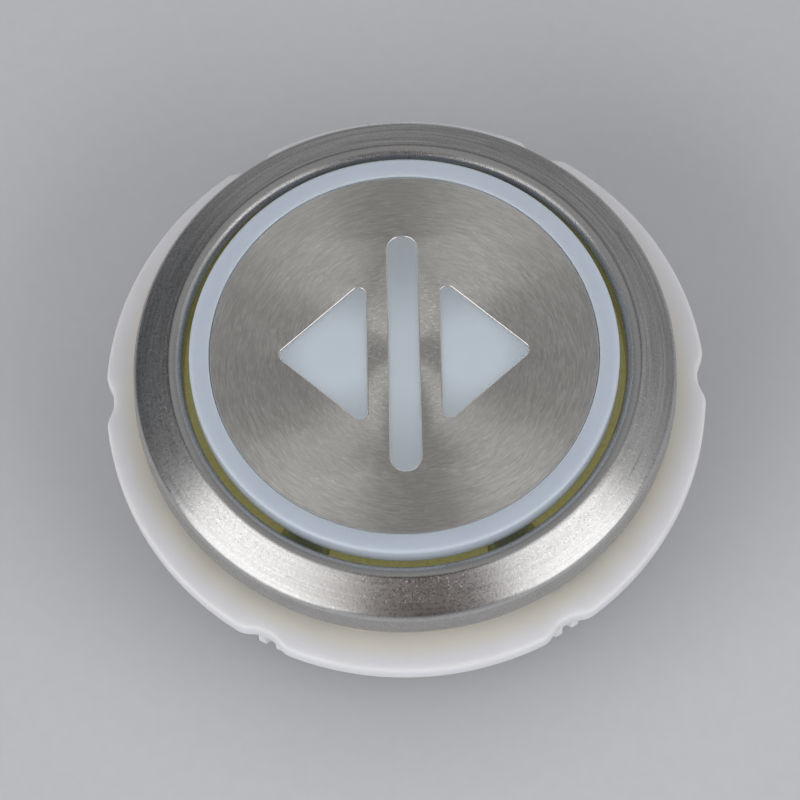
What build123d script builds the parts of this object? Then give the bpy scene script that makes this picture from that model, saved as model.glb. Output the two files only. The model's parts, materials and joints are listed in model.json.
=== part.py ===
from build123d import *
import os
from math import cos, radians, sin

# Illuminated round lift-car push button with a "door open" symbol, for a 2 mm panel.
# Millimetres. z = 0 is the front of the panel that the bezel seats on, +Z points at the
# person who presses the button, and the bar of the symbol runs along Y.

# Panel, bezel and face
PANEL_GAP_Z = -2.05          # top of the retaining flange: a 2 mm panel and a little play
FACE_Z = 4.85                # front of the steel face plate
PLATE_R = 15.0
PLATE_THICKNESS = 0.5
FILM_THICKNESS = 0.1
BEZEL_R = 21.2
BEZEL_SHOULDER = (21.04, 2.62)   # radius and height of the corner between wall and slope
BEZEL_RIDGE = (18.2, 4.15)       # radius and height of the ridge that the slope rises to
LIP_R = 17.15                # inner edge of the bezel
BEZEL_WALL = 0.5
BEZEL_SKIRT_Z = 1.6          # the rolled inner edge ends here

# Symbol: a bar between two triangles that point outwards
BAR_WIDTH = 2.4
BAR_LENGTH = 19.8
TRIANGLE_BASE_X = 2.85
TRIANGLE_TIP_X = 9.95
TRIANGLE_HALF_HEIGHT = 6.3
TRIANGLE_CORNER_R = 0.6
LENS_GAP = 0.08              # between a symbol lens and the edge of its opening

# Button cap, the translucent moulding
CAP_R = 16.6
CAP_TOP_Z = 5.0
CAP_UNDER_Z = 3.2
HALO_INNER_R = 15.06
TRAVEL = 1.0
STEM_R = 1.6
PAD_TOP_Z = -1.8
PLUNGER_TOP_Z = -2.6         # the stem's pad rests on the switch plunger here
LEG_ANGLES = (60, 120, 240, 300)
LEG_INNER_R = 15.0
LEG_OUTER_R = 15.9
LEG_SPAN = 12
HOOK_R = 16.7
HOOK_TOP_Z = -2.25
LEG_END_Z = -3.7

# Boards and the moulding that carries the front one
BOARD_R = 17.5
LIGHT_BOARD_Z = 0.9
LIGHT_BOARD_THICKNESS = 1.6
CARRIER_TOP_Z = LIGHT_BOARD_Z - LIGHT_BOARD_THICKNESS
CARRIER_THICKNESS = 1.5
CARRIER_UNDER_Z = CARRIER_TOP_Z - CARRIER_THICKNESS
REAR_BOARD_R = 17.3
REAR_BOARD_Z = -9.8
REAR_BOARD_THICKNESS = 1.2
REAR_BOARD_UNDER_Z = REAR_BOARD_Z - REAR_BOARD_THICKNESS
LINK_X = -8.0                # row of pins that joins the two boards
LINK_PITCH = 2.0

# Return springs
SPRING_ANGLES = (0, 90, 180, 270)
SPRING_CIRCLE_R = 12.2
SPRING_MEAN_R = 1.7
SPRING_WIRE_R = 0.2
SPRING_TURNS = 6.5
WELL_R = 2.7
WELL_BORE_R = 2.25
WELL_FLOOR_Z = -5.2

# Pillars and the screws that pull the rear cover to them
PILLAR_ANGLES = (45, 135, 225, 315)
PILLAR_CIRCLE_R = 13.0
PILLAR_R = 2.0
PILOT_R = 1.0
SCREW_SHANK_R = 0.95
SCREW_HEAD_R = 1.75
SCREW_HEAD_HEIGHT = 1.1

# Housing
SPIGOT_R = 19.0              # fills a 38.5 mm panel cut-out
NECK_R = 18.8                # the retaining ring turns here
BARREL_BORE_R = 17.6
MOUTH_BORE_R = 17.95
SHOULDER_R = 20.5
SHOULDER_Z = 2.2
GASKET_THICKNESS = 0.5
BARREL_END_Z = -12.2
LUG_ANGLES = (30, 150, 270)
LUG_R = 20.3
LUG_SPAN = 22
COVER_END_Z = -15.5
COVER_FLOOR_Z = -14.1

# Retaining ring
FLANGE_R = 23.57
FLANGE_UNDER_Z = -3.6
HUB_R = 22.9
HUB_UNDER_Z = -5.2
RING_BORE_R = 18.9
RING_PHASE = 1.2             # the ring's notches stand a little off the symbol's axes
NOTCH_COUNT = 6
NOTCH_FLOOR = 1.2            # width of a notch at its floor
NOTCH_DEPTH = 0.62
NOTCH_SPREAD = 2.4           # how far a notch's ends run along the rim for each step outwards
TOOTH_COUNT = 96
UNLOCK_TURN = 45

# Switch
SWITCH_LENGTH = 12.8
SWITCH_WIDTH = 5.8
SWITCH_X = 1.9               # its plunger is off its middle, and on the button's axis
SWITCH_JOINT_Z = -6.6
SWITCH_TOP_Z = -3.7
SWITCH_CAVITY = (10.8, 4.2)
PLUNGER_R = 1.05

# Wire connectors under the rear board
CONNECTOR_Y = 8.0
CONNECTOR_SIZE = (10.0, 4.6)
CONNECTOR_END_Z = -15.2
CONNECTOR_PITCH = 2.0

BASE = (Align.CENTER, Align.CENTER, Align.MIN)


def disc(radius, low, high, at=(0, 0)):
    """Cylinder that stands between two heights."""
    return Pos(at[0], at[1], low) * Cylinder(radius, high - low, align=BASE)


def tube(outer, inner, low, high, at=(0, 0)):
    """Disc with a hole through it."""
    return disc(outer, low, high, at) - disc(inner, low - 1, high + 1, at)


def block(length, width, low, high, at=(0, 0)):
    """Box that stands between two heights."""
    return Pos(at[0], at[1], low) * Box(length, width, high - low, align=BASE)


def sector(outer, inner, low, high, centre, span):
    """Part of a tube, span degrees wide about the direction centre."""
    middle = Pos((outer + inner) / 2, (low + high) / 2)
    section = Plane.XZ * middle * Rectangle(outer - inner, high - low)
    return Rot(0, 0, centre - span / 2) * revolve(section, Axis.Z, span)


def polar(radius, angle):
    """Point at a radius and a direction in degrees."""
    return (radius * cos(radians(angle)), radius * sin(radians(angle)))


def spring_places():
    return [polar(SPRING_CIRCLE_R, angle) for angle in SPRING_ANGLES]


def pillar_places():
    return [polar(PILLAR_CIRCLE_R, angle) for angle in PILLAR_ANGLES]


def pin_row(count, pitch):
    """Offsets of a row of pins about its middle."""
    return [(i - (count - 1) / 2) * pitch for i in range(count)]


def turned(points):
    """Solid of revolution about Z from (radius, z) corners."""
    outline = Polyline([(r, 0, z) for r, z in points], close=True)
    return revolve(make_face(outline), Axis.Z, 360)


def symbol(grow):
    """Faces of the bar and the two triangles, each grown outwards by grow."""
    bar = SlotOverall(BAR_LENGTH + 2 * grow, BAR_WIDTH + 2 * grow, rotation=90)
    faces = [bar.face()]
    for side in (-1, 1):
        corners = [
            (side * TRIANGLE_BASE_X, TRIANGLE_HALF_HEIGHT),
            (side * TRIANGLE_BASE_X, -TRIANGLE_HALF_HEIGHT),
            (side * TRIANGLE_TIP_X, 0),
        ]
        sharp = make_face(Polyline(corners, close=True))
        rounded = fillet(sharp.vertices(), TRIANGLE_CORNER_R)
        if grow:
            rounded = offset(rounded, amount=grow)
        faces.append(rounded.face())
    return faces


def symbol_prisms(grow, low, high):
    """The symbol's faces raised between two heights."""
    return [extrude(Pos(0, 0, low) * face, amount=high - low, dir=(0, 0, 1)) for face in symbol(grow)]


# The front: face plate, its film and the cap they sit on

def face_plate():
    """Steel disc with the symbol cut through it and a broken front edge."""
    low = FACE_Z - PLATE_THICKNESS
    plate = disc(PLATE_R, low, FACE_Z)
    rim = plate.edges().filter_by(GeomType.CIRCLE).group_by(Axis.Z)[-1]
    plate = chamfer(rim, 0.06)
    for prism in symbol_prisms(0, low - 1, FACE_Z + 1):
        plate -= prism
    return plate


def plate_film():
    """Adhesive film between the face plate and the cap."""
    high = FACE_Z - PLATE_THICKNESS
    film = disc(PLATE_R - 0.2, high - FILM_THICKNESS, high)
    for prism in symbol_prisms(0.2, high - 1, high + 1):
        film -= prism
    return film


def cap_leg(angle):
    """Snap leg: it guides the cap and its hook stops it at the top of its travel."""
    leg = sector(LEG_OUTER_R, LEG_INNER_R, LEG_END_Z, CAP_UNDER_Z + 0.2, angle, LEG_SPAN)
    hook = sector(HOOK_R, LEG_OUTER_R - 0.2, LEG_END_Z, HOOK_TOP_Z, angle, LEG_SPAN)
    taper = sector(HOOK_R + 1, HOOK_R - 0.35, LEG_END_Z - 1, LEG_END_Z + 0.5, angle, LEG_SPAN + 4)
    return leg + (hook - taper)


def button_cap():
    """Light guide in one moulding: halo ring, symbol lenses, stem, snap legs, spring bosses."""
    seat_z = FACE_Z - PLATE_THICKNESS - FILM_THICKNESS
    cap = disc(CAP_R, CAP_UNDER_Z, CAP_TOP_Z)
    crown = cap.edges().filter_by(GeomType.CIRCLE).group_by(Axis.Z)[-1]
    cap = fillet(crown, 0.25)
    cap -= disc(HALO_INNER_R, seat_z, CAP_TOP_Z + 1)
    for prism in symbol_prisms(-LENS_GAP, seat_z - 0.1, FACE_Z - 0.03):
        cap += prism
    cap += disc(STEM_R, PAD_TOP_Z, CAP_UNDER_Z + 0.2)
    cap += disc(STEM_R + 1.2, CAP_UNDER_Z - 0.5, CAP_UNDER_Z + 0.2)
    for place in spring_places():
        cap += disc(1.15, CAP_UNDER_Z - 1.3, CAP_UNDER_Z + 0.2, place)
    for angle in LEG_ANGLES:
        cap += cap_leg(angle)
    return cap


def actuator_pad():
    """Rubber tip pressed on the end of the cap's stem."""
    pad = disc(STEM_R, PLUNGER_TOP_Z, PAD_TOP_Z)
    return fillet(pad.edges().filter_by(GeomType.CIRCLE).group_by(Axis.Z)[0], 0.3)


# The bezel and the housing behind it

def bezel_section():
    """Half section of the bezel: a sheet with a drafted wall, a sloped face, a ridge and a rolled lip."""
    shoulder_r, shoulder_z = BEZEL_SHOULDER
    ridge_r, ridge_z = BEZEL_RIDGE
    draft = (BEZEL_R - shoulder_r) / shoulder_z
    slope = (ridge_z - shoulder_z) / (shoulder_r - ridge_r)
    inside_r = LIP_R + BEZEL_WALL
    wall_r = BEZEL_R - BEZEL_WALL
    under_z = ridge_z - BEZEL_WALL
    drop = BEZEL_WALL * (1 + slope ** 2) ** 0.5      # height between the two faces of the slope
    fold_r = ridge_r - (drop - BEZEL_WALL) / slope
    corner_z = (ridge_z - drop - slope * (wall_r - ridge_r)) / (1 - slope * draft)
    corners = [                                      # radius, height, fillet
        (BEZEL_R, 0, 0.12),
        (shoulder_r, shoulder_z, 0.6),
        (ridge_r, ridge_z, 0.3),
        (LIP_R, ridge_z, 0.9),
        (LIP_R, BEZEL_SKIRT_Z, 0),
        (inside_r, BEZEL_SKIRT_Z, 0),
        (inside_r, under_z, 0.35),
        (fold_r, under_z, 0),
        (wall_r - draft * corner_z, corner_z, 0.1),
        (wall_r, 0, 0),
    ]
    section = make_face(Polyline(*[corner[:2] for corner in corners], close=True))
    for r, z, radius in corners:
        if radius:
            section = fillet(section.vertices().sort_by_distance((r, z, 0))[0], radius)
    return section


def bezel_ring():
    """Stainless bezel, turned from its section."""
    return revolve(Plane.XZ * bezel_section(), Axis.Z, 360)


def panel_gasket():
    """Foam ring between the housing's shoulder and the panel."""
    return tube(SHOULDER_R - 0.05, SPIGOT_R + 0.1, 0, GASKET_THICKNESS)


def housing_barrel():
    """Shouldered barrel with a shelf for the carrier and three bayonet lugs."""
    barrel = turned([
        (MOUTH_BORE_R, SHOULDER_Z),
        (SHOULDER_R, SHOULDER_Z),
        (SHOULDER_R, GASKET_THICKNESS),
        (SPIGOT_R, GASKET_THICKNESS),
        (SPIGOT_R, PANEL_GAP_Z + 0.05),
        (NECK_R, PANEL_GAP_Z + 0.05),
        (NECK_R, BARREL_END_Z),
        (BARREL_BORE_R, BARREL_END_Z),
        (BARREL_BORE_R, CARRIER_UNDER_Z - 1),
        (BARREL_BORE_R - 0.7, CARRIER_UNDER_Z - 1),
        (BARREL_BORE_R - 0.7, CARRIER_UNDER_Z),
        (BARREL_BORE_R, CARRIER_UNDER_Z),
        (BARREL_BORE_R, CARRIER_TOP_Z),
        (MOUTH_BORE_R, CARRIER_TOP_Z),
    ])
    for angle in LUG_ANGLES:
        barrel += sector(LUG_R, NECK_R - 0.3, HUB_UNDER_Z - 1.5, HUB_UNDER_Z - 0.1, angle, LUG_SPAN)
    return barrel


def carrier_plate():
    """Moulding that holds the front board: spring wells, pillars and openings for legs and pins."""
    plate = disc(BOARD_R, CARRIER_UNDER_Z, CARRIER_TOP_Z)
    for place in spring_places():
        plate += disc(WELL_R, WELL_FLOOR_Z - 0.7, CARRIER_TOP_Z, place)
    for place in pillar_places():
        plate += disc(PILLAR_R, REAR_BOARD_Z, CARRIER_UNDER_Z + 0.2, place)
    for place in spring_places():
        plate -= disc(WELL_BORE_R, WELL_FLOOR_Z, CARRIER_TOP_Z + 1, place)
    for place in pillar_places():
        plate -= disc(PILOT_R, REAR_BOARD_Z - 1, CARRIER_UNDER_Z - 0.8, place)
    plate -= disc(STEM_R + 1.4, CARRIER_UNDER_Z - 1, CARRIER_TOP_Z + 1)
    plate -= block(3.0, 9.4, CARRIER_UNDER_Z - 1, CARRIER_TOP_Z + 1, (LINK_X + 1.2, 0))
    for angle in LEG_ANGLES:
        plate -= sector(LEG_OUTER_R + 0.2, LEG_INNER_R - 0.3,
                        CARRIER_UNDER_Z - 1, CARRIER_TOP_Z + 1, angle, LEG_SPAN + 2)
    return plate


def rear_cover():
    """Tapered rear cup with a spigot, screw posts and two connector ports."""
    cover = turned([
        (0, COVER_END_Z),
        (17.0, COVER_END_Z),
        (17.5, COVER_END_Z + 0.5),
        (NECK_R, BARREL_END_Z - 0.6),
        (NECK_R, BARREL_END_Z),
        (BARREL_BORE_R - 0.1, BARREL_END_Z),
        (BARREL_BORE_R - 0.1, REAR_BOARD_UNDER_Z),
        (BARREL_BORE_R - 1.3, REAR_BOARD_UNDER_Z),
        (BARREL_BORE_R - 1.3, COVER_FLOOR_Z),
        (0, COVER_FLOOR_Z),
    ])
    for place in pillar_places():
        cover += disc(2.3, COVER_FLOOR_Z - 0.2, REAR_BOARD_UNDER_Z, place)
        cover -= disc(1.1, COVER_END_Z - 1, REAR_BOARD_UNDER_Z + 1, place)
        cover -= disc(SCREW_HEAD_R + 0.2, COVER_END_Z - 1, COVER_END_Z + 1.2, place)
    for side in (-1, 1):
        port = block(CONNECTOR_SIZE[0] + 0.6, CONNECTOR_SIZE[1] + 0.6,
                     COVER_END_Z - 1, COVER_FLOOR_Z + 1, (0, side * CONNECTOR_Y))
        cover -= port
    return cover


def cover_screws():
    """Pan-head self-tapping screws with a cross recess, heads down."""
    head_low = COVER_END_Z + 0.1
    head_top = head_low + SCREW_HEAD_HEIGHT
    screws = []
    for place in pillar_places():
        head = disc(SCREW_HEAD_R, head_low, head_top, place)
        head = fillet(head.edges().filter_by(GeomType.CIRCLE).group_by(Axis.Z)[0], 0.45)
        screw = head + disc(SCREW_SHANK_R, head_top - 0.1, CARRIER_UNDER_Z - 1.6, place)
        for length, width in ((2.0, 0.4), (0.4, 2.0)):
            screw -= block(length, width, head_low - 1, head_low + 0.6, place)
        screws.append(screw)
    return screws


# The retaining ring

def flange_outline():
    """Disc with six shallow finger notches, their corners well rounded."""
    floor_r = FLANGE_R - NOTCH_DEPTH
    half = NOTCH_FLOOR / 2
    wide = half + NOTCH_SPREAD * (NOTCH_DEPTH + 1)
    corners = [(floor_r, half), (floor_r, -half), (FLANGE_R + 1, -wide), (FLANGE_R + 1, wide)]
    cutter = make_face(Polyline(corners, close=True))
    face = Circle(FLANGE_R)
    for i in range(NOTCH_COUNT):
        face -= Rot(0, 0, RING_PHASE + i * 360 / NOTCH_COUNT) * cutter
    by_distance = face.vertices().sort_by_distance((0, 0, 0))
    face = fillet(by_distance[:2 * NOTCH_COUNT], 2.0)
    rim = [v for v in face.vertices() if Vector(v).length > FLANGE_R - 0.01]
    return fillet(rim, 1.5)


def hub_outline():
    """Serrated outline of the hub under the flange."""
    points = []
    for i in range(TOOTH_COUNT):
        for step, radius in ((0.0, HUB_R), (0.3, HUB_R), (0.5, HUB_R - 0.42), (0.8, HUB_R - 0.42)):
            points.append(polar(radius, (i + step) * 360 / TOOTH_COUNT))
    return make_face(Polyline(points, close=True))


def retaining_ring():
    """Bayonet ring that clamps the panel: notched flange over a serrated hub."""
    thickness = PANEL_GAP_Z - FLANGE_UNDER_Z
    flange = extrude(Pos(0, 0, FLANGE_UNDER_Z) * flange_outline(), amount=thickness, dir=(0, 0, 1))
    flange = fillet(flange.faces().sort_by(Axis.Z)[-1].edges(), 0.3)
    height = FLANGE_UNDER_Z - HUB_UNDER_Z + 0.2
    hub = extrude(Pos(0, 0, HUB_UNDER_Z) * hub_outline(), amount=height, dir=(0, 0, 1))
    ring = flange + hub
    ring -= disc(RING_BORE_R, HUB_UNDER_Z - 1, PANEL_GAP_Z + 1)
    for angle in LUG_ANGLES:
        ring -= sector(LUG_R + 0.2, RING_BORE_R - 0.5, HUB_UNDER_Z - 1, PANEL_GAP_Z + 1,
                       angle + UNLOCK_TURN, LUG_SPAN + 4)
    return ring


# Boards and what is on them

def circuit_board():
    """Front board: clear of the stem, the springs and the cap's legs."""
    low = LIGHT_BOARD_Z - LIGHT_BOARD_THICKNESS
    board = disc(BOARD_R, low, LIGHT_BOARD_Z)
    board -= disc(STEM_R + 1.4, low - 1, LIGHT_BOARD_Z + 1)
    for place in spring_places():
        board -= disc(WELL_BORE_R + 0.15, low - 1, LIGHT_BOARD_Z + 1, place)
    for angle in LEG_ANGLES:
        board -= sector(BOARD_R + 1, LEG_INNER_R - 0.3, low - 1, LIGHT_BOARD_Z + 1, angle, LEG_SPAN + 4)
    for y in pin_row(4, LINK_PITCH):
        board -= disc(0.45, low - 1, LIGHT_BOARD_Z + 1, (LINK_X, y))
    return board


def led(x, y, angle):
    """Surface-mount lamp: a body with a chamfered lens face."""
    body = block(2.0, 1.25, LIGHT_BOARD_Z, LIGHT_BOARD_Z + 0.8)
    body = chamfer(body.edges().group_by(Axis.Z)[-1], 0.12)
    return Pos(x, y, 0) * Rot(0, 0, angle) * body


def halo_leds():
    """Twelve lamps round the rim, long side along the circle."""
    angles = [15 + 30 * i for i in range(12)]
    return [led(*polar(13.2, angle), angle + 90) for angle in angles]


def symbol_leds():
    """Lamps behind the triangles and along the bar."""
    places = [(-5.2, 2.2), (-5.2, -2.2), (5.2, 2.2), (5.2, -2.2), (0, 6.6), (0, -6.6)]
    return [led(x, y, 90) for x, y in places]


def resistors():
    """Chip resistors between the lamps and the springs."""
    chip = block(1.6, 0.8, LIGHT_BOARD_Z, LIGHT_BOARD_Z + 0.5)
    angles = [22.5 + 45 * i for i in range(8)]
    return [Pos(*polar(10.3, angle)) * Rot(0, 0, angle) * chip for angle in angles]


def link_pins():
    """Square pins that join the two boards."""
    return [
        block(0.5, 0.5, REAR_BOARD_UNDER_Z - 0.6, LIGHT_BOARD_Z + 0.4, (LINK_X, y))
        for y in pin_row(4, LINK_PITCH)
    ]


def link_header():
    """Insulator on the rear board that the link pins stand in."""
    header = block(2.2, 8.2, REAR_BOARD_Z, REAR_BOARD_Z + 2.2, (LINK_X, 0))
    for y in pin_row(4, LINK_PITCH):
        header -= block(0.6, 0.6, REAR_BOARD_Z - 1, REAR_BOARD_Z + 4, (LINK_X, y))
    return header


def terminal_places():
    return [SWITCH_X + x for x in (-4.6, 0.4, 4.6)]


def rear_board():
    """Rear board, drilled for its screws, pins and terminals."""
    low = REAR_BOARD_UNDER_Z
    high = REAR_BOARD_Z
    board = disc(REAR_BOARD_R, low, high)
    for place in pillar_places():
        board -= disc(PILOT_R + 0.1, low - 1, high + 1, place)
    for y in pin_row(4, LINK_PITCH):
        board -= disc(0.45, low - 1, high + 1, (LINK_X, y))
    for x in terminal_places():
        board -= disc(0.6, low - 1, high + 1, (x, 0))
    for side in (-1, 1):
        for x in pin_row(4, CONNECTOR_PITCH):
            board -= disc(0.45, low - 1, high + 1, (x, side * CONNECTOR_Y))
    return board


def driver_chip():
    """Eight-lead driver in a moulded body, with its gull-wing leads."""
    top = REAR_BOARD_Z + 1.6
    body = block(5.0, 3.9, REAR_BOARD_Z + 0.15, top, (0, 11.2))
    body = chamfer(body.edges().group_by(Axis.Z)[-1], 0.25)
    for side in (-1, 1):
        for x in pin_row(4, 1.27):
            body += block(0.4, 0.9, REAR_BOARD_Z, REAR_BOARD_Z + 0.4, (x, 11.2 + side * 2.2))
    return body


def capacitors():
    """Two smoothing capacitors in round cans on square feet."""
    cans = []
    for x in (-3.2, 3.2):
        foot = block(4.4, 4.4, REAR_BOARD_Z, REAR_BOARD_Z + 0.5, (x, -5.2))
        cans.append(foot + disc(2.0, REAR_BOARD_Z + 0.4, REAR_BOARD_Z + 3.6, (x, -5.2)))
    return cans


def connector_shell(side):
    """Four-way wire connector, open downwards, with polarising slots in one long wall."""
    at = (0, side * CONNECTOR_Y)
    low = CONNECTOR_END_Z
    shell = block(*CONNECTOR_SIZE, low, REAR_BOARD_UNDER_Z, at)
    shell -= block(CONNECTOR_SIZE[0] - 1.4, CONNECTOR_SIZE[1] - 1.2, low - 1, REAR_BOARD_UNDER_Z - 1, at)
    for x in (-2.4, 2.4):
        shell -= block(0.9, 2.0, low - 1, low + 2.2, (x, side * (CONNECTOR_Y + CONNECTOR_SIZE[1] / 2)))
    for x in pin_row(4, CONNECTOR_PITCH):
        shell -= block(0.6, 0.6, low - 1, REAR_BOARD_UNDER_Z + 1, (x, at[1]))
    return shell


def connector_pins():
    """Square pins of both wire connectors."""
    return [
        block(0.5, 0.5, CONNECTOR_END_Z + 0.7, REAR_BOARD_Z + 0.5, (x, side * CONNECTOR_Y))
        for side in (-1, 1)
        for x in pin_row(4, CONNECTOR_PITCH)
    ]


# The switch

def switch_base():
    """Lower half of the switch case, open at the top."""
    base = block(SWITCH_LENGTH, SWITCH_WIDTH, REAR_BOARD_Z, SWITCH_JOINT_Z, (SWITCH_X, 0))
    base -= block(*SWITCH_CAVITY, REAR_BOARD_Z + 1, SWITCH_JOINT_Z + 1, (SWITCH_X, 0))
    for x in terminal_places():
        base -= block(0.9, 0.7, REAR_BOARD_Z - 1, REAR_BOARD_Z + 2, (x, 0))
    return base


def switch_cover():
    """Upper half of the switch case, with the plunger's guide hole."""
    cover = block(SWITCH_LENGTH, SWITCH_WIDTH, SWITCH_JOINT_Z, SWITCH_TOP_Z, (SWITCH_X, 0))
    cover = chamfer(cover.edges().group_by(Axis.Z)[-1], 0.2)
    cover -= block(*SWITCH_CAVITY, SWITCH_JOINT_Z - 1, SWITCH_TOP_Z - 0.8, (SWITCH_X, 0))
    return cover - disc(PLUNGER_R + 0.1, SWITCH_JOINT_Z, SWITCH_TOP_Z + 1)


def switch_plunger():
    """Pin plunger with a collar that keeps it in the case."""
    collar_top = SWITCH_TOP_Z - 1.4
    plunger = disc(PLUNGER_R, collar_top - 0.8, PLUNGER_TOP_Z)
    plunger = fillet(plunger.edges().filter_by(GeomType.CIRCLE).group_by(Axis.Z)[-1], 0.3)
    return plunger + disc(1.6, collar_top - 0.8, collar_top)


def switch_blade():
    """Snap blade, a thin leaf just under the plunger's lowest point, with a turned-down end."""
    top = SWITCH_TOP_Z - 1.4 - 0.8 - TRAVEL - 0.08
    leaf = block(9.8, 2.6, top - 0.15, top, (SWITCH_X, 0))
    return leaf + block(0.15, 2.6, top - 0.8, top, (SWITCH_X + 4.825, 0))


def switch_terminals():
    """Common, normally-closed and normally-open terminals."""
    blade_under = SWITCH_TOP_Z - 1.4 - 0.8 - TRAVEL - 0.25
    tops = (blade_under, blade_under - 0.7, blade_under - 0.9)
    return [
        block(0.7, 0.5, REAR_BOARD_UNDER_Z - 0.9, top, (x, 0))
        for x, top in zip(terminal_places(), tops)
    ]


# The springs

def return_spring(place):
    """Open coil between the well's floor and the cap's underside."""
    low = WELL_FLOOR_Z + SPRING_WIRE_R + 0.02
    high = CAP_UNDER_Z - SPRING_WIRE_R - 0.02
    path = Helix((high - low) / SPRING_TURNS, high - low, SPRING_MEAN_R)
    section = Plane(origin=path @ 0, z_dir=path % 0) * Circle(SPRING_WIRE_R)
    return Pos(place[0], place[1], low) * sweep(section, path=path, is_frenet=True)


def save(name, shape):
    """Write one sub-part; a list of solids goes out as one group."""
    if isinstance(shape, list):
        shape = Compound(children=[solid for item in shape for solid in item.solids()])
    export_step(shape, f"parts/{name}.step")


def main():
    os.makedirs("parts", exist_ok=True)
    save("face_plate", face_plate())
    save("plate_film", plate_film())
    save("button_cap", button_cap())
    save("actuator_pad", actuator_pad())
    save("bezel_ring", bezel_ring())
    save("panel_gasket", panel_gasket())
    save("housing_barrel", housing_barrel())
    save("carrier_plate", carrier_plate())
    save("rear_cover", rear_cover())
    save("cover_screws", cover_screws())
    save("retaining_ring", retaining_ring())
    save("circuit_board", circuit_board())
    save("halo_leds", halo_leds())
    save("symbol_leds", symbol_leds())
    save("resistors", resistors())
    save("link_pins", link_pins())
    save("link_header", link_header())
    save("rear_board", rear_board())
    save("driver_chip", driver_chip())
    save("capacitors", capacitors())
    save("connector_a", connector_shell(1))
    save("connector_b", connector_shell(-1))
    save("connector_pins", connector_pins())
    save("switch_base", switch_base())
    save("switch_cover", switch_cover())
    save("switch_plunger", switch_plunger())
    save("switch_blade", switch_blade())
    save("switch_terminals", switch_terminals())
    for number, place in enumerate(spring_places(), 1):
        save(f"return_spring_{number}", return_spring(place))


main()
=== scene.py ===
import json
import math

import bmesh
import bpy
from mathutils import Matrix, Vector


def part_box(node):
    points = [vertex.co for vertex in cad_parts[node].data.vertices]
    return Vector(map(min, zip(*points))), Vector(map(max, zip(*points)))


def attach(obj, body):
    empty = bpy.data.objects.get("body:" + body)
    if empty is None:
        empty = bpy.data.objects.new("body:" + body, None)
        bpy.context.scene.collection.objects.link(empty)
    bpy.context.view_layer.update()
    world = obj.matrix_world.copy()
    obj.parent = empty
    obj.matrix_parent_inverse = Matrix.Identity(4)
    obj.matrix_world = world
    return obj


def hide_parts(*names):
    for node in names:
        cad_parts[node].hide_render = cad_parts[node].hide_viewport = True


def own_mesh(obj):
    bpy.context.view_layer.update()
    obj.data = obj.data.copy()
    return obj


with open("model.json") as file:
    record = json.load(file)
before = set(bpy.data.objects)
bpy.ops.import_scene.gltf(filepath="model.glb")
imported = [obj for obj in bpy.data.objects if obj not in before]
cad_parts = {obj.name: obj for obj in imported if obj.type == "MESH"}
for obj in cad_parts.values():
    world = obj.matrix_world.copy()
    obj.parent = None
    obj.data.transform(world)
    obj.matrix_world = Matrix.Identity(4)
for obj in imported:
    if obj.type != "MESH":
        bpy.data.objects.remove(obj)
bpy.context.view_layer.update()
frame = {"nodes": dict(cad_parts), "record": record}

MM = 0.001

# Sizes in millimetres, as in the CAD model
FACE_Z = 4.85
PLATE_R = 15.0
PLATE_UNDER_Z = 4.35
LENS_Z = 4.82
LENS_FOOT_Z = 4.2                # the lenses' walls start above this
HALO_Z = 5.0
SYMBOL_REACH = 12.0              # the whole symbol lies inside this radius
BAR_LENGTH = 19.8
BAR_WIDTH = 2.4
TRIANGLE_BASE_X = 2.85
TRIANGLE_TIP_X = 9.95
TRIANGLE_HALF_HEIGHT = 6.3
TRIANGLE_CORNER_R = 0.6
BEZEL_R = 21.2
BEZEL_SHOULDER = (21.04, 2.62)
BEZEL_RIDGE = (18.2, 4.15)
LIP_R = 17.15
BEZEL_WALL = 0.5
BEZEL_SKIRT_Z = 1.6
FLANGE_R = 23.57
FLANGE_TOP_Z = -2.05
FLANGE_UNDER_Z = -3.6
HUB_R = 22.9
HUB_UNDER_Z = -5.2
RING_BORE_R = 18.9
RING_PHASE = 1.2
NOTCH_PITCH = 60
NOTCH_REACH = 9                  # degrees from a notch's middle to where the rim is whole again
NOTCH_FLOOR_R = 22.95
NOTCH_HALF_WIDTH = 0.6
NOTCH_SPREAD = 2.4
NOTCH_FLOOR_BLEND = 0.17
NOTCH_RIM_BLEND = 0.19
TOOTH_COUNT = 96
TOOTH_DEPTH = 0.42
LUG_SLOT_R = 20.5
LUG_SLOT_ANGLES = (75, 195, 315)
LUG_SLOT_SPAN = 26
SPRING_FOOT_Z = -5.2
SPRING_TOP_Z = 3.2
SPRING_TURNS = 6.5               # between the closed ends
SPRING_R = 1.7
WIRE_R = 0.2
FLOOR_Z = -15.5

# Of the visual model only, in millimetres
PLATE_EDGE = 0.08                # rounding of the face plate's edges
LENS_EDGE = 0.10
LENS_SWELL = 0.08                # how far the lenses grow towards their openings
FLANGE_EDGE = 0.28
BROKEN_EDGE = 0.1
SHARP = 35                       # degrees above which an edge counts as sharp


# ---------------------------------------------------------------- materials

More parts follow.
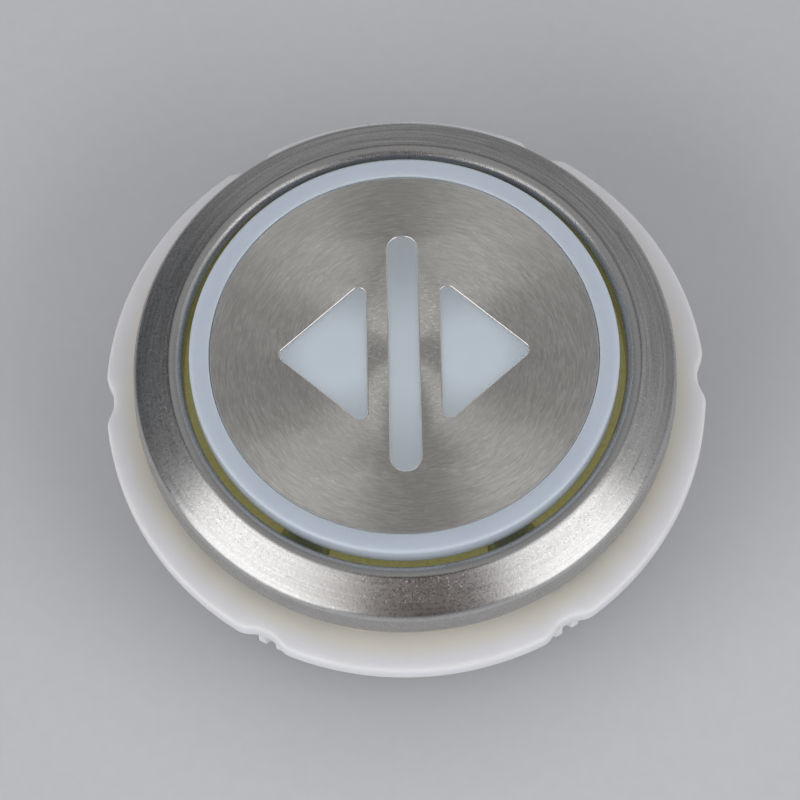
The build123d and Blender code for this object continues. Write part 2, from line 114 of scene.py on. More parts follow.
class Graph:
    """A material's nodes. A number or colour is set on a socket, and a socket is linked to it."""

    def __init__(self, tree):
        self.tree = tree
        tree.nodes.clear()

    def set(self, socket, value):
        if isinstance(value, bpy.types.NodeSocket):
            self.tree.links.new(value, socket)
        elif socket.type == "RGBA":
            socket.default_value = (*value[:3], 1.0)
        else:
            socket.default_value = value

    def node(self, kind, values=None, **settings):
        node = self.tree.nodes.new("ShaderNode" + kind)
        for key, value in settings.items():
            setattr(node, key, value)
        for key, value in (values or {}).items():
            self.set(node.inputs[key], value)
        return node

    def math(self, operation, *values):
        node = self.node("Math", operation=operation)
        for socket, value in zip(node.inputs, values):
            self.set(socket, value)
        return node.outputs[0]

    def step(self, value, low, high, start=0.0, end=1.0):
        """Smooth rise from start to end as the value goes from low to high."""
        node = self.node("MapRange", {"Value": value, "From Min": low, "From Max": high,
                                      "To Min": start, "To Max": end}, interpolation_type="SMOOTHSTEP")
        return node.outputs["Result"]

    def mix(self, factor, a, b):
        node = self.node("Mix", data_type="RGBA")
        for index, value in ((0, factor), (6, a), (7, b)):
            self.set(node.inputs[index], value)
        return node.outputs[2]

    def combine(self, x, y, z):
        return self.node("CombineXYZ", {"X": x, "Y": y, "Z": z}).outputs[0]

    def split(self, vector):
        return self.node("SeparateXYZ", {"Vector": vector}).outputs[:]

    def place(self):
        """The piece's own coordinates, in millimetres."""
        own = self.node("TexCoord").outputs["Object"]
        node = self.node("VectorMath", {0: own}, operation="SCALE")
        node.inputs["Scale"].default_value = 1 / MM
        return node.outputs[0]

    def noise(self, vector, scale=1.0, detail=3.0, roughness=0.5, w=None):
        values = {"Vector": vector, "Scale": scale, "Detail": detail, "Roughness": roughness}
        if w is None:
            return self.node("TexNoise", values).outputs["Fac"]
        return self.node("TexNoise", {**values, "W": w}, noise_dimensions="4D").outputs["Fac"]

    def spokes(self, centre=(0.0, 0.0)):
        """Radius and unit direction of a point about a vertical line, and its height."""
        x, y, z = self.split(self.place())
        x = self.math("SUBTRACT", x, centre[0])
        y = self.math("SUBTRACT", y, centre[1])
        r = self.math("SQRT", self.math("ADD", self.math("MULTIPLY", x, x), self.math("MULTIPLY", y, y)))
        safe = self.math("MAXIMUM", r, 0.01)
        return r, self.math("DIVIDE", x, safe), self.math("DIVIDE", y, safe), z

    def streaks(self, centre, along, across, detail=3.0, rise=0.0):
        """Noise drawn out along circles: features per radian along them, and per millimetre across."""
        r, c, s, z = self.spokes(centre)
        vector = self.combine(self.math("MULTIPLY", c, along), self.math("MULTIPLY", s, along),
                              self.math("MULTIPLY", r, across))
        w = self.math("MULTIPLY", z, rise) if rise else None
        return self.noise(vector, detail=detail, roughness=0.6, w=w)

    def bump(self, height, micrometres):
        values = {"Height": height, "Distance": micrometres * 1e-6, "Strength": 1.0}
        return self.node("Bump", values).outputs[0]

    def around(self):
        """Direction along circles about the vertical axis, for brushed metal."""
        return self.node("Tangent", direction_type="RADIAL", axis="Z").outputs[0]

    def finish(self, **values):
        """Principled surface; keywords are its socket names, with an underscore for a space."""
        shader = self.node("BsdfPrincipled", {key.replace("_", " "): v for key, v in values.items()})
        output = self.node("OutputMaterial")
        self.tree.links.new(shader.outputs[0], output.inputs["Surface"])
        return shader


def material(name):
    made = bpy.data.materials.new(name)
    made.use_nodes = True
    return made, Graph(made.node_tree)


def face_steel():
    """Turned disc: arcs about the middle, more off centre, stray scratches, and polished edges that also
    carry a painted highlight.
    """
    made, g = material("steel_face")
    fine = g.streaks((0, 0), 8.0, 9.0, detail=3)
    swirl = g.streaks((1.4, -2.0), 11.0, 6.5)
    short = g.streaks((-0.8, 0.9), 20.0, 9.0, detail=2)
    cloud = g.noise(g.place(), scale=0.22, detail=3)
    x, y, z = g.split(g.place())
    band = g.math("ABSOLUTE", x)
    near = g.math("MULTIPLY", g.step(band, 0.9, 1.6), g.step(band, 4.2, 2.6))
    near = g.math("MULTIPLY", near, g.step(g.math("ABSOLUTE", y), 8.5, 4.5))
    slant = g.node("Mapping", {"Vector": g.place(), "Rotation": (0, 0, math.radians(38)),
                               "Scale": (2.0, 9.5, 1.0)}).outputs[0]
    scratch = g.step(g.noise(slant, scale=1.0, detail=2), 0.57, 0.68)
    scratch = g.math("MULTIPLY", scratch, near)
    arcs = g.step(short, 0.58, 0.72)
    tone = g.math("ADD", g.math("MULTIPLY", fine, 0.5), g.math("MULTIPLY", swirl, 0.5))
    base = g.mix(g.step(tone, 0.36, 0.64), (0.47, 0.460, 0.434), (0.58, 0.572, 0.542))
    base = g.mix(g.step(cloud, 0.35, 0.7, 0.0, 0.5), base, (0.49, 0.472, 0.447))
    base = g.mix(g.math("MULTIPLY", arcs, 0.35), base, (0.80, 0.79, 0.755))
    base = g.mix(g.math("MULTIPLY", scratch, 0.5), base, (0.90, 0.89, 0.86))
    height = g.math("ADD", tone, g.math("MULTIPLY", g.math("ADD", arcs, scratch), 0.5))
    # Painted highlight: the band along the plate's top edges is painted near-white, besides being made
    # smoother.
    edge = g.step(z, FACE_Z - 0.002, FACE_Z - 0.02)
    base = g.mix(edge, base, (0.93, 0.925, 0.92))
    rough = g.math("SUBTRACT", g.step(tone, 0.3, 0.7, 0.55, 0.48), g.math("MULTIPLY", edge, 0.2))
    g.finish(Base_Color=base, Metallic=1.0, Roughness=rough, Anisotropic=0.93, Anisotropic_Rotation=0.25,
             Tangent=g.around(), Normal=g.bump(height, 1.4))
    return made


def bezel_steel():
    """Formed ring: lathe lines that fade towards the lit front as painted light, fine grain, bright flecks,
    and painted shade on the flat by the lip and on the wall.
    """
    made, g = material("steel_bezel")
    r, _, _, z = g.spokes()
    lines = g.streaks((0, 0), 1.8, 6.5, detail=4, rise=6.5)
    marks = g.streaks((0, 0), 4.0, 1.6, detail=2, rise=1.6)
    grain = g.noise(g.place(), scale=4.2, detail=3, roughness=0.65)
    flecks = g.step(g.noise(g.place(), scale=8.5, detail=4, roughness=0.7), 0.57, 0.70)
    flecks = g.math("MULTIPLY", flecks, g.step(z, 2.9, 3.6, 0.25, 1.0))
    pits = g.noise(g.place(), scale=7.5, detail=2)
    _, y, _ = g.split(g.place())
    # Painted light: towards the front, where the lamps' reflections fall, the lathe lines fade and the base
    # turns a little lighter.
    depth = g.step(y, -10.0, 3.0, 0.3, 1.0)
    tone = g.math("MULTIPLY_ADD", g.math("SUBTRACT", g.step(lines, 0.38, 0.62), 0.65), depth, 0.65)
    base = g.mix(tone, (0.44, 0.432, 0.42), (0.65, 0.64, 0.627))
    base = g.mix(g.step(marks, 0.58, 0.74, 0.0, 0.45), base, (0.30, 0.29, 0.285))
    base = g.mix(g.step(pits, 0.64, 0.74, 0.0, 0.3), base, (0.34, 0.33, 0.32))
    ridge_z = BEZEL_RIDGE[1]
    # Painted shade: the flat between the lip and the ridge is darkened in place of a dimmer reflection.
    lip = g.math("MULTIPLY", g.step(z, ridge_z - 0.12, ridge_z - 0.03), g.step(r, LIP_R + 0.15, LIP_R + 0.4))
    base = g.mix(g.math("MULTIPLY", lip, 0.85), base, (0.27, 0.265, 0.26))
    shoulder_z = BEZEL_SHOULDER[1]
    # Painted shade: the wall below the shoulder is darkened.
    wall = g.step(z, shoulder_z - 0.37, shoulder_z - 0.67)
    base = g.mix(g.math("MULTIPLY", wall, 0.5), base, (0.30, 0.295, 0.285))
    ridges = g.math("MULTIPLY", g.math("MULTIPLY", lines, depth), 0.2)
    height = g.math("ADD", ridges, g.math("MULTIPLY", grain, 1.2))
    height = g.math("ADD", height, g.math("MULTIPLY", flecks, 0.8))
    rough = g.step(grain, 0.35, 0.65, 0.26, 0.33)
    g.finish(Base_Color=base, Metallic=1.0, Roughness=rough, Anisotropic=0.6, Anisotropic_Rotation=0.25,
             Tangent=g.around(), Normal=g.bump(height, 7.0))
    return made


def milky(name, inner, outer, radii, rough, depth, cloud=0.12, symbol=False):
    """Translucent moulding whose tint passes from one colour to another between two radii."""
    made, g = material(name)
    r, _, _, z = g.spokes()
    base = g.mix(g.step(r, *radii), inner, outer)
    patches = g.noise(g.place(), scale=0.35, detail=3)
    base = g.mix(g.step(patches, 0.35, 0.7, 0.0, cloud), base, tuple(0.86 * c for c in inner))
    if symbol:
        # Painted shade towards the bar's ends and the triangles' corners.
        base = g.mix(symbol_shade(g), base, (0.40, 0.44, 0.475))
        # Painted highlight: a thin near-white band on the lenses' rounded top edges.
        below, above = g.step(z, LENS_Z - 0.004, LENS_Z - 0.02), g.step(z, LENS_Z - 0.12, LENS_Z - 0.1)
        inside = g.step(r, SYMBOL_REACH + 0.5, SYMBOL_REACH)
        rim = g.math("MULTIPLY", g.math("MULTIPLY", below, above), inside)
        base = g.mix(rim, base, (0.97, 0.97, 1.0))
    fine = g.noise(g.place(), scale=5.0, detail=4)
    g.finish(Base_Color=base, Roughness=g.step(fine, 0.3, 0.7, rough - 0.05, rough + 0.06), IOR=1.5,
             Subsurface_Weight=1.0, Subsurface_Radius=(1.0, 0.95, 0.9), Subsurface_Scale=depth * MM,
             Normal=g.bump(fine, 0.8))
    return made


def symbol_shade(g):
    """Painted shade: one at the bar's ends and the triangles' corners, where the moulding is thin and
    shaded.
    """
    x, y, _ = g.split(g.place())
    far = g.math("ABSOLUTE", x)
    bar = g.step(g.math("ABSOLUTE", g.math("ADD", y, 0.8)), 1.5, 9.6, 0.12, 0.75)
    dx = g.math("SUBTRACT", far, 5.0)
    distance = g.math("SQRT", g.math("ADD", g.math("MULTIPLY", dx, dx), g.math("MULTIPLY", y, y)))
    corner = g.step(distance, 1.9, 5.6, 0.0, 0.6)
    shade = g.mix(g.step(far, 1.9, 2.1), g.combine(bar, bar, bar), g.combine(corner, corner, corner))
    inside = g.step(g.spokes()[0], SYMBOL_REACH + 0.5, SYMBOL_REACH)
    return g.math("MULTIPLY", shade, inside)


def moulded(name, colour, rough=0.5, grain=6.0, scale=4.0, depth=0.0, glow=(0, 0, 0)):
    """Moulded plastic or rubber with a fine spark-eroded grain and slight flow marks."""
    made, g = material(name)
    fine = g.noise(g.place(), scale=scale, detail=4, roughness=0.6)
    flow = g.noise(g.place(), scale=0.25, detail=2)
    base = g.mix(g.step(flow, 0.3, 0.7), tuple(0.88 * c for c in colour), tuple(1.10 * c for c in colour))
    # Emission, where given, is a painted glow from a part that is no lamp.
    g.finish(Base_Color=base, Roughness=g.step(fine, 0.3, 0.7, rough - 0.07, rough + 0.07), IOR=1.48,
             Subsurface_Weight=0.6 if depth else 0.0, Subsurface_Scale=depth * MM,
             Emission_Color=glow, Emission_Strength=1.0 if any(glow) else 0.0, Normal=g.bump(fine, grain))
    return made


def plated(name, colour, rough=0.25, grain=3.0, scale=5.0):
    """Plated or drawn metal with faint blotches and fine handling marks."""
    made, g = material(name)
    blotch = g.noise(g.place(), scale=0.9, detail=4)
    fine = g.noise(g.place(), scale=scale, detail=3, roughness=0.6)
    base = g.mix(g.step(blotch, 0.3, 0.7), tuple(0.82 * c for c in colour), colour)
    g.finish(Base_Color=base, Metallic=1.0, Roughness=g.step(fine, 0.3, 0.7, rough - 0.06, rough + 0.08),
             Normal=g.bump(fine, grain))
    return made


def board():
    """Olive solder mask over fibreglass, with tracks and vias, and a faint painted glow in place of light
    that soaks through the cap.
    """
    made, g = material("solder_mask")
    place = g.place()
    tracks = g.node("TexBrick", {"Vector": place, "Scale": 1.0, "Mortar Size": 0.11, "Mortar Smooth": 0.2,
                                 "Brick Width": 2.6, "Row Height": 0.9}, offset=0.35).outputs["Fac"]
    vias = g.node("TexVoronoi", {"Vector": place, "Scale": 0.5}).outputs["Distance"]
    weave = g.noise(place, scale=2.2, detail=3)
    base = g.mix(g.step(weave, 0.35, 0.65), (0.50, 0.48, 0.20), (0.60, 0.575, 0.26))
    base = g.mix(g.math("MULTIPLY", tracks, 0.55), base, (0.60, 0.61, 0.24))
    base = g.mix(g.step(vias, 0.13, 0.10), base, (0.66, 0.60, 0.40))
    height = g.math("ADD", tracks, g.math("MULTIPLY", weave, 0.15))
    # Painted glow: a faint constant olive emission in place of light that soaks through the cap.
    g.finish(Base_Color=base, Roughness=0.34, IOR=1.5, Coat_Weight=0.25, Coat_Roughness=0.2,
             Emission_Color=(0.10, 0.092, 0.038), Emission_Strength=1.0, Normal=g.bump(height, 18.0))
    return made


def film():
    """Thin clear adhesive film with small trapped bubbles."""
    made, g = material("adhesive_film")
    bubbles = g.node("TexVoronoi", {"Vector": g.place(), "Scale": 1.1}).outputs["Distance"]
    dots = g.step(bubbles, 0.16, 0.10)
    base = g.mix(dots, (0.74, 0.73, 0.68), (0.88, 0.88, 0.86))
    g.finish(Base_Color=base, Roughness=0.3, IOR=1.47, Normal=g.bump(dots, 10.0))
    return made


def lamp():
    """White lamp body, a little yellow and cloudy."""
    made, g = material("lamp_body")
    cloud = g.noise(g.place(), scale=1.5, detail=3)
    base = g.mix(g.step(cloud, 0.3, 0.7), (0.80, 0.78, 0.66), (0.90, 0.89, 0.82))
    g.finish(Base_Color=base, Roughness=0.3, Subsurface_Weight=0.4, Subsurface_Scale=0.3 * MM,
             Normal=g.bump(cloud, 4.0))
    return made


def backdrop():
    """Plain pale grey card, with a painted shadow that makes it a little darker near the object."""
    made, g = material("pale_card")
    fine = g.noise(g.place(), scale=0.8, detail=4)
    broad = g.noise(g.place(), scale=0.012, detail=2)
    base = g.mix(g.step(broad, 0.35, 0.65), (0.655, 0.672, 0.698), (0.685, 0.70, 0.727))
    base = g.mix(g.step(fine, 0.3, 0.7, 0.0, 0.06), base, (0.45, 0.46, 0.48))
    # Painted shadow: the card darkens towards the object, widening its soft shadow.
    base = g.mix(g.step(g.spokes((0.0, 9.0))[0], 44.0, 20.0, 0.0, 0.36), base, (0.45, 0.465, 0.485))
    g.finish(Base_Color=base, Roughness=0.75, Specular_IOR_Level=0.25, Normal=g.bump(fine, 10.0))
    return made


LIBRARY = {
    "face_steel": face_steel(),
    "bezel_steel": bezel_steel(),
    "light_guide": milky("milky_cap", (0.69, 0.77, 0.835), (0.60, 0.67, 0.755), (12.0, 14.0),
                         0.34, 1.0, symbol=True),
    "film": film(),
    # The cream tint towards the bezel is painted warm shade from under the bezel.
    "ring_white": milky("milky_ring", (0.87, 0.845, 0.775), (0.84, 0.845, 0.88), (21.2, 23.0),
                        0.42, 1.2, cloud=0.15),
    "housing_white": milky("milky_housing", (0.80, 0.775, 0.71), (0.78, 0.76, 0.71), (17.0, 20.0),
                           0.45, 0.8),
    # The carrier's faint emission is a painted glow, in place of light soaking through the cap.
    "carrier_grey": moulded("carrier_plastic", (0.24, 0.25, 0.19), glow=(0.045, 0.047, 0.02)),
    "cover_black": moulded("cover_plastic", (0.035, 0.036, 0.04), rough=0.46, grain=14.0, scale=6.0),
    "gasket_foam": moulded("foam", (0.05, 0.05, 0.05), rough=0.85, grain=40.0, scale=5.0),
    "pad_rubber": moulded("rubber", (0.06, 0.06, 0.06), rough=0.7),
    "board_green": board(),
    "led_white": lamp(),
    "chip_black": moulded("epoxy", (0.03, 0.03, 0.032), rough=0.4, grain=5.0),
    "capacitor_can": plated("drawn_can", (0.72, 0.72, 0.73), rough=0.22),
    "connector_cream": moulded("natural_nylon", (0.78, 0.74, 0.62), rough=0.4, depth=0.6),
    "pin_tin": plated("tin", (0.74, 0.73, 0.70), rough=0.22),
    "screw_zinc": plated("zinc", (0.62, 0.63, 0.65), rough=0.3, grain=6.0),
    "switch_case": moulded("switch_plastic", (0.045, 0.045, 0.05), rough=0.38, grain=4.0),
    "plunger_ivory": moulded("acetal", (0.76, 0.71, 0.56), rough=0.35, grain=3.0, depth=0.5),
    "spring_steel": plated("spring_wire", (0.60, 0.59, 0.57), rough=0.2, grain=2.0),
    "contact_brass": plated("copper_alloy", (0.72, 0.53, 0.26), rough=0.25),
}


# ----------------------------------------------------------------- geometry

def arc(centre, radius, start, end, steps):
    """Points of an arc, from one angle to another in degrees."""
    angles = [math.radians(start + (end - start) * i / steps) for i in range(steps + 1)]
    return [(centre[0] + radius * math.cos(a), centre[1] + radius * math.sin(a)) for a in angles]


def rounded(corners, steps=5):
    """Closed outline of (a, b) or (a, b, radius) corners, with an arc at each corner that has a radius."""
    points = []
    for i, corner in enumerate(corners):
        here = Vector(corner[:2])
        if len(corner) == 2:
            points.append(here)
            continue
        before = (Vector(corners[i - 1][:2]) - here).normalized()
        after = (Vector(corners[(i + 1) % len(corners)][:2]) - here).normalized()
        half = before.angle(after) / 2
        centre = here + (before + after).normalized() * corner[2] / math.sin(half)
        start = here + before * corner[2] / math.tan(half) - centre
        end = here + after * corner[2] / math.tan(half) - centre
        for k in range(steps + 1):
            points.append(centre + start.lerp(end, k / steps).normalized() * corner[2])
    return points


def link(name, mesh):
    piece = bpy.data.objects.new(name, mesh)
    bpy.context.scene.collection.objects.link(piece)
    return piece


def made_piece(name, vertices, faces, sharp):
    """Piece from vertices in millimetres, with joined points, outward faces and sharp edges kept."""
    mesh = bpy.data.meshes.new(name)
    mesh.from_pydata([Vector(v) * MM for v in vertices], [], faces)
    tidy(mesh, sharp)
    return link(name, mesh)


def tidy(mesh, sharp):
    """Join doubled points, face outwards, and shade smooth except at sharp edges."""
    work = bmesh.new()
    work.from_mesh(mesh)
    bmesh.ops.remove_doubles(work, verts=work.verts, dist=1e-7)
    bmesh.ops.recalc_face_normals(work, faces=work.faces)
    work.to_mesh(mesh)
    work.free()
    mesh.shade_smooth()
    mesh.set_sharp_from_angle(angle=math.radians(sharp))


def skin(name, loops, closed=True, sharp=SHARP):
    """Quads between loops of equally many points; a closed skin joins its last loop to its first."""
    count = len(loops[0])
    vertices = [point for loop in loops for point in loop]
    pairs = range(len(loops) if closed else len(loops) - 1)
    faces = []
    for i in pairs:
        here, there = i * count, (i + 1) % len(loops) * count
        for j in range(count):
            k = (j + 1) % count
            faces.append((here + j, here + k, there + k, there + j))
    return made_piece(name, vertices, faces, sharp)


def turned(name, section, segments, sharp=SHARP):
    """Ring of revolution from its closed section of (radius, z) points."""
    loops = []
    for i in range(segments):
        a = 2 * math.pi * i / segments
        loops.append([(r * math.cos(a), r * math.sin(a), z) for r, z in section])
    return skin(name, loops, sharp=sharp)


def sheet(name, outlines, low, high, edge):
    """Flat part with rounded edges: the first outline is its rim, and outlines inside it are openings."""
    curve = bpy.data.curves.new(name, "CURVE")
    curve.dimensions = "2D"
    curve.fill_mode = "BOTH"
    curve.extrude = ((high - low) / 2 - edge) * MM
    curve.bevel_depth = edge * MM
    curve.bevel_resolution = 3
    curve.offset = -edge * MM
    for outline in outlines:
        spline = curve.splines.new("POLY")
        spline.points.add(len(outline) - 1)
        for point, (x, y) in zip(spline.points, outline):
            point.co = (x * MM, y * MM, 0, 1)
        spline.use_cyclic_u = True
    drawn = link(name + "_curve", curve)
    bpy.context.view_layer.update()
    mesh = bpy.data.meshes.new_from_object(drawn.evaluated_get(bpy.context.evaluated_depsgraph_get()))
    bpy.data.objects.remove(drawn)
    mesh.transform(Matrix.Translation((0, 0, (low + high) / 2 * MM)))
    tidy(mesh, 30)
    return link(name, mesh)


def circle(radius, count):
    return arc((0, 0), radius, 0, 360 * (1 - 1 / count), count - 1)


def finish_piece(piece, body, slot, *nodes):
    """Give a piece its material and its body, and hide the CAD nodes it stands for."""
    piece.data.materials.clear()
    piece.data.materials.append(LIBRARY[slot])
    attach(piece, body)
    if nodes:
        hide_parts(*nodes)
    return piece


# ------------------------------------------------------------------- pieces

def symbol_outlines():
    """The bar and both triangles."""
    end_r = BAR_WIDTH / 2
    end_y = BAR_LENGTH / 2 - end_r
    outlines = [arc((0, end_y), end_r, 0, 180, 24) + arc((0, -end_y), end_r, 180, 360, 24)]
    for side in (-1, 1):
        corners = [(side * TRIANGLE_BASE_X, TRIANGLE_HALF_HEIGHT, TRIANGLE_CORNER_R),
                   (side * TRIANGLE_BASE_X, -TRIANGLE_HALF_HEIGHT, TRIANGLE_CORNER_R),
                   (side * TRIANGLE_TIP_X, 0, TRIANGLE_CORNER_R)]
        outlines.append(rounded(corners, 10))
    return outlines


def bezel():
    """Sheet ring: drafted wall, sloped face, ridge and rolled lip, each corner with its fillet."""
    shoulder_r, shoulder_z = BEZEL_SHOULDER
    ridge_r, ridge_z = BEZEL_RIDGE
    draft = (BEZEL_R - shoulder_r) / shoulder_z
    slope = (ridge_z - shoulder_z) / (shoulder_r - ridge_r)
    inside_r = LIP_R + BEZEL_WALL
    wall_r = BEZEL_R - BEZEL_WALL
    under_z = ridge_z - BEZEL_WALL
    drop = BEZEL_WALL * (1 + slope ** 2) ** 0.5
    fold_r = ridge_r - (drop - BEZEL_WALL) / slope
    corner_z = (ridge_z - drop - slope * (wall_r - ridge_r)) / (1 - slope * draft)
    corners = [
        (BEZEL_R, 0, 0.12),
        (shoulder_r, shoulder_z, 0.6),
        (ridge_r, ridge_z, 0.3),
        (LIP_R, ridge_z, 0.9),
        (LIP_R, BEZEL_SKIRT_Z, 0.08),
        (inside_r, BEZEL_SKIRT_Z, 0.08),
        (inside_r, under_z, 0.35),
        (fold_r, under_z),
        (wall_r - draft * corner_z, corner_z, 0.1),
        (wall_r, 0, 0.08),
    ]
    return turned("bezel", rounded(corners, 14), 480, 60)


def smaller(a, b, soft):
    """The lesser of two lengths, blended where they meet."""
    share = min(1, max(0, 0.5 + (b - a) / (2 * soft)))
    return b + (a - b) * share - soft * share * (1 - share)


def ring_radius(angle):
    """Edge of the flange at an angle in degrees, notched six times."""
    off = abs((angle - RING_PHASE + NOTCH_PITCH / 2) % NOTCH_PITCH - NOTCH_PITCH / 2)
    if off > NOTCH_REACH:
        return FLANGE_R
    c, s = math.cos(math.radians(off)), math.sin(math.radians(off))
    floor = NOTCH_FLOOR_R / c
    wall = (NOTCH_FLOOR_R * NOTCH_SPREAD - NOTCH_HALF_WIDTH) / (NOTCH_SPREAD * c - s)
    notch = -smaller(-floor, -wall, NOTCH_FLOOR_BLEND)
    return smaller(FLANGE_R, notch, NOTCH_RIM_BLEND)


def hub_radius(angle):
    """Serrated edge under the flange: a tooth's share of its pitch is gap, flank, then land."""
    half_gap, flank = 0.14, 0.16
    share = angle * TOOTH_COUNT / 360 % 1
    wave = min(1, max(0, (abs(share - 0.5) - half_gap) / flank))
    return HUB_R - TOOTH_DEPTH * (1 - wave)


def bore_radius(angle):
    """Bore with three slots for the housing's lugs."""
    for middle in LUG_SLOT_ANGLES:
        if abs((angle - middle + 180) % 360 - 180) < LUG_SLOT_SPAN / 2:
            return LUG_SLOT_R
    return RING_BORE_R


def retaining_ring():
    """Notched flange over a serrated hub, built up as loops from the hub's foot to the bore."""
    count = TOOTH_COUNT * 20
    turns = [360 * i / count for i in range(count)]

    def loop(radius, z, inset=0.0):
        points = [(radius(turn) - inset, math.radians(turn)) for turn in turns]
        return [(r * math.cos(a), r * math.sin(a), z) for r, a in points]

    fillet = 0.08
    loops = [loop(hub_radius, HUB_UNDER_Z, BROKEN_EDGE),
             loop(hub_radius, HUB_UNDER_Z + BROKEN_EDGE),
             loop(hub_radius, FLANGE_UNDER_Z - fillet),
             loop(hub_radius, FLANGE_UNDER_Z, -fillet)]
    for inset, rise in ((0.12, 0), (0.03, 0.05), (0, 0.14)):
        loops.append(loop(ring_radius, FLANGE_UNDER_Z + rise, inset))
    for i in range(7):
        a = math.radians(90 * i / 6)
        inset, drop = FLANGE_EDGE * (1 - math.cos(a)), FLANGE_EDGE * (1 - math.sin(a))
        loops.append(loop(ring_radius, FLANGE_TOP_Z - drop, inset))
    loops += [loop(bore_radius, FLANGE_TOP_Z, -BROKEN_EDGE),
              loop(bore_radius, FLANGE_TOP_Z - BROKEN_EDGE),
              loop(bore_radius, HUB_UNDER_Z + BROKEN_EDGE),
              loop(bore_radius, HUB_UNDER_Z, -BROKEN_EDGE)]
    return skin("locking_ring", loops, sharp=40)


def coil(name, place):
    """Compression spring with closed ends: the pitch falls to the wire's thickness over each last turn."""
    total = SPRING_TURNS + 2
    steps = int(total * 28)
    thick = 2 * WIRE_R
    rise = SPRING_TOP_Z - SPRING_FOOT_Z - 3 * thick
    loops = []
    for i in range(steps + 1):
        t = total * i / steps
        middle = min(1, max(0, (t - 1) / SPRING_TURNS))
        z = SPRING_FOOT_Z + WIRE_R + rise * middle + thick * (min(t, 1) + max(0, t - 1 - SPRING_TURNS))
        a = 2 * math.pi * t
        out = Vector((math.cos(a), math.sin(a), 0))
        centre = Vector((place[0], place[1], z)) + out * SPRING_R
        loops.append([centre + (out * math.cos(b) + Vector((0, 0, 1)) * math.sin(b)) * WIRE_R
                      for b in (2 * math.pi * k / 12 for k in range(12))])
    piece = skin(name, loops, closed=False, sharp=50)
    close_ends(piece)
    return piece


def close_ends(piece):
    """Cap the open ends of a wire."""
    work = bmesh.new()
    work.from_mesh(piece.data)
    bmesh.ops.holes_fill(work, edges=[e for e in work.edges if e.is_boundary])
    bmesh.ops.recalc_face_normals(work, faces=work.faces)
    work.to_mesh(piece.data)
    work.free()


def softened(node, name, width, only=None, steps=3, swell=0.0):
    """Copy of a CAD node with broken edges: all sharp ones, or those only() picks by two points in mm."""
    mesh = frame["nodes"][node].data.copy()
    work = bmesh.new()
    work.from_mesh(mesh)
    bmesh.ops.remove_doubles(work, verts=work.verts, dist=2e-7)
    bmesh.ops.dissolve_limit(work, angle_limit=math.radians(0.5), verts=work.verts, edges=work.edges)
    if swell:
        swell_lenses(work, swell)
    picked = []
    for edge in work.edges:
        if len(edge.link_faces) != 2 or edge.calc_face_angle(0) < math.radians(SHARP):
            continue
        a, b = (v.co / MM for v in edge.verts)
        if only is None or only(a, b):
            picked.append(edge)
    bmesh.ops.bevel(work, geom=picked, offset=width * MM, offset_type="OFFSET", segments=steps, profile=0.5,
                    affect="EDGES", clamp_overlap=True)
    work.to_mesh(mesh)
    work.free()
    if "custom_normal" in mesh.attributes:
        mesh.attributes.remove(mesh.attributes["custom_normal"])
    tidy(mesh, 32)
    return link(name, mesh)


def swell_lenses(work, gap):
    """Grow the symbol's lenses sideways until they nearly touch the edges of their openings."""
    work.normal_update()
    moves = []
    for vertex in work.verts:
        if vertex.co.z < LENS_FOOT_Z * MM or vertex.co.xy.length > SYMBOL_REACH * MM:
            continue
        side = sum((f.normal for f in vertex.link_faces if abs(f.normal.z) < 0.3), Vector())
        if side.length > 0:
            moves.append((vertex, side.normalized() * gap * MM))
    for vertex, move in moves:
        vertex.co += move
    work.normal_update()


def lens_edges(a, b):
    """Top edges of the symbol's lenses and the inner edge of the halo."""
    low, high = min(a.z, b.z), max(a.z, b.z)
    halo = low > HALO_Z - 0.01 and max(a.xy.length, b.xy.length) < PLATE_R + 0.2
    lens = LENS_Z - 0.01 < low and high < LENS_Z + 0.01 and a.xy.length < SYMBOL_REACH
    return halo or lens


def build_pieces():
    outlines = [circle(PLATE_R, 480)] + symbol_outlines()
    plate = sheet("face_disc", outlines, PLATE_UNDER_Z, FACE_Z, PLATE_EDGE)
    finish_piece(plate, "button", "face_steel", "face_plate")
    cap = softened("button_cap", "light_cap", LENS_EDGE, only=lens_edges, steps=4, swell=LENS_SWELL)
    finish_piece(cap, "button", "light_guide", "button_cap")
    finish_piece(bezel(), "housing", "bezel_steel", "bezel_ring")
    finish_piece(retaining_ring(), "locking", "ring_white", "retaining_ring")
    for node, name, slot, edge in (("rear_cover", "rear_shell", "cover_black", 0.25),
                                   ("connector_a", "wire_block_a", "connector_cream", 0.12),
                                   ("connector_b", "wire_block_b", "connector_cream", 0.12),
                                   ("cover_screws", "shell_screws", "screw_zinc", 0.07)):
        finish_piece(softened(node, name, edge), "housing", slot, node)
    for number in (1, 2, 3, 4):
        node = f"return_spring_{number}"
        low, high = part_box(node)
        spring = coil(f"spring_{number}", (low + high) / 2 / MM)
        finish_piece(spring, "housing", "spring_steel", node)
        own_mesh(spring)


def dress_nodes():
    """Give each CAD node its material."""
    slots = {part["node"]: part["material_slot"] for part in frame["record"]["subparts"]}
    for name, node in frame["nodes"].items():
        for slot in node.material_slots:
            slot.material = LIBRARY[slots[name]]


# -------------------------------------------------------------------- stage

def stand():
    """Card that the object lies on."""
    mesh = bpy.data.meshes.new("floor")
    half = 4.0
    corners = [(-half, -half, 0), (half, -half, 0), (half, half, 0), (-half, half, 0)]
    mesh.from_pydata(corners, [], [(0, 1, 2, 3)])
    floor = link("floor", mesh)
    floor.location.z = FLOOR_Z * MM
    mesh.materials.append(backdrop())


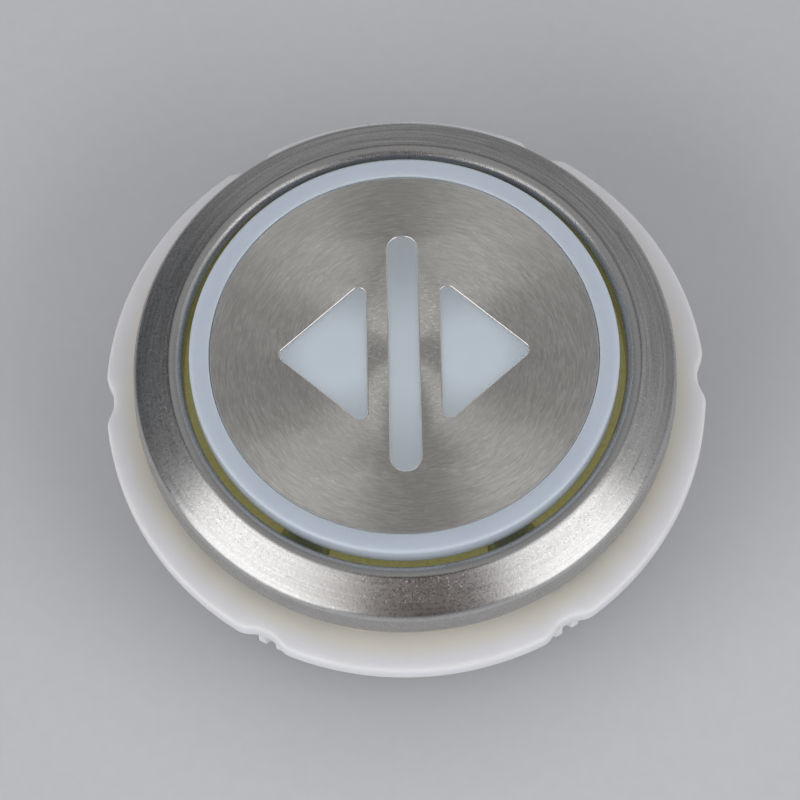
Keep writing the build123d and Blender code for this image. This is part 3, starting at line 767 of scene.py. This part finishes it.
def softbox(name, heading, elevation, width, height, power, distance=0.7):
    """Rectangular lamp that faces the object from a heading and elevation in degrees."""
    lamp_data = bpy.data.lights.new(name, "AREA")
    lamp_data.shape = "RECTANGLE"
    lamp_data.size, lamp_data.size_y = width, height
    lamp_data.energy = power
    lamp_object = link(name, lamp_data)
    h, e = math.radians(heading), math.radians(elevation)
    toward = Vector((math.cos(h) * math.cos(e), math.sin(h) * math.cos(e), math.sin(e)))
    lamp_object.location = toward * distance
    lamp_object.rotation_euler = toward.to_track_quat("Z", "Y").to_euler()
    return lamp_object


def room():
    """Grey room: brighter above, dim low on the left and behind the camera between the softboxes."""
    world = bpy.data.worlds.new("room")
    bpy.context.scene.world = world
    world.use_nodes = True
    g = Graph(world.node_tree)
    way = g.node("TexCoord").outputs["Generated"]
    _, _, z = g.split(way)

    def toward(heading, elevation):
        h, e = math.radians(heading), math.radians(elevation)
        aim = (math.cos(h) * math.cos(e), math.sin(h) * math.cos(e), math.sin(e))
        return g.node("VectorMath", {0: way, 1: aim}, operation="DOT_PRODUCT").outputs["Value"]

    low, high = (0.25, 0.255, 0.265), (0.70, 0.70, 0.71)
    dim_left, dim_front = (0.055, 0.06, 0.07), (0.09, 0.062, 0.06)
    seen_directly = (0.46, 0.475, 0.495)
    colour = g.mix(g.step(z, 0.4, 0.95), low, high)
    colour = g.mix(g.step(toward(160, 5), 0.66, 0.90), colour, dim_left)
    colour = g.mix(g.step(toward(270, 50), 0.87, 0.95), colour, dim_front)
    background = g.node("Background", {"Color": colour, "Strength": 1.0})
    pale = g.node("Background", {"Color": seen_directly, "Strength": 1.0})
    seen = g.node("LightPath").outputs["Is Camera Ray"]
    both = g.node("MixShader", {0: seen, 1: background.outputs[0], 2: pale.outputs[0]})
    output = g.node("OutputWorld")
    g.tree.links.new(both.outputs[0], output.inputs["Surface"])


def camera():
    """Long lens, a third of a metre away: 66 degrees up, a little right of the symbol's axis, and rolled."""
    heading, elevation, roll = math.radians(1.2), math.radians(66), math.radians(2.41)
    distance = 0.30795
    middle = Vector((0, 0, FACE_Z * MM))
    back = Vector((math.sin(heading) * math.cos(elevation), -math.cos(heading) * math.cos(elevation),
                   math.sin(elevation)))
    right = Vector((0, 0, 1)).cross(back).normalized()
    level = Matrix((right, back.cross(right), back)).transposed()
    rolled = level @ Matrix.Rotation(-roll, 3, "Z")
    # In pixels of an 800 pixel picture: how far the middle lies off its centre, and the lens's length
    aim = Vector((4.1, 47.85, -4000))
    turn = Vector((0, 0, -1)).rotation_difference(aim).to_matrix().transposed()
    data = bpy.data.cameras.new("camera")
    data.sensor_width = 36
    data.lens = 180
    data.clip_start = 0.01
    data.clip_end = 20
    eye = link("camera", data)
    eye.matrix_world = Matrix.Translation(middle + back * distance) @ (rolled @ turn).to_4x4()
    bpy.context.scene.camera = eye


dress_nodes()
build_pieces()
stand()
softbox("softbox_left", heading=221, elevation=25, width=0.66, height=0.72, power=2.44)
softbox("softbox_right", heading=325, elevation=25, width=0.50, height=0.72, power=1.80)
room()
camera()
bpy.context.scene.view_settings.view_transform = "Standard"
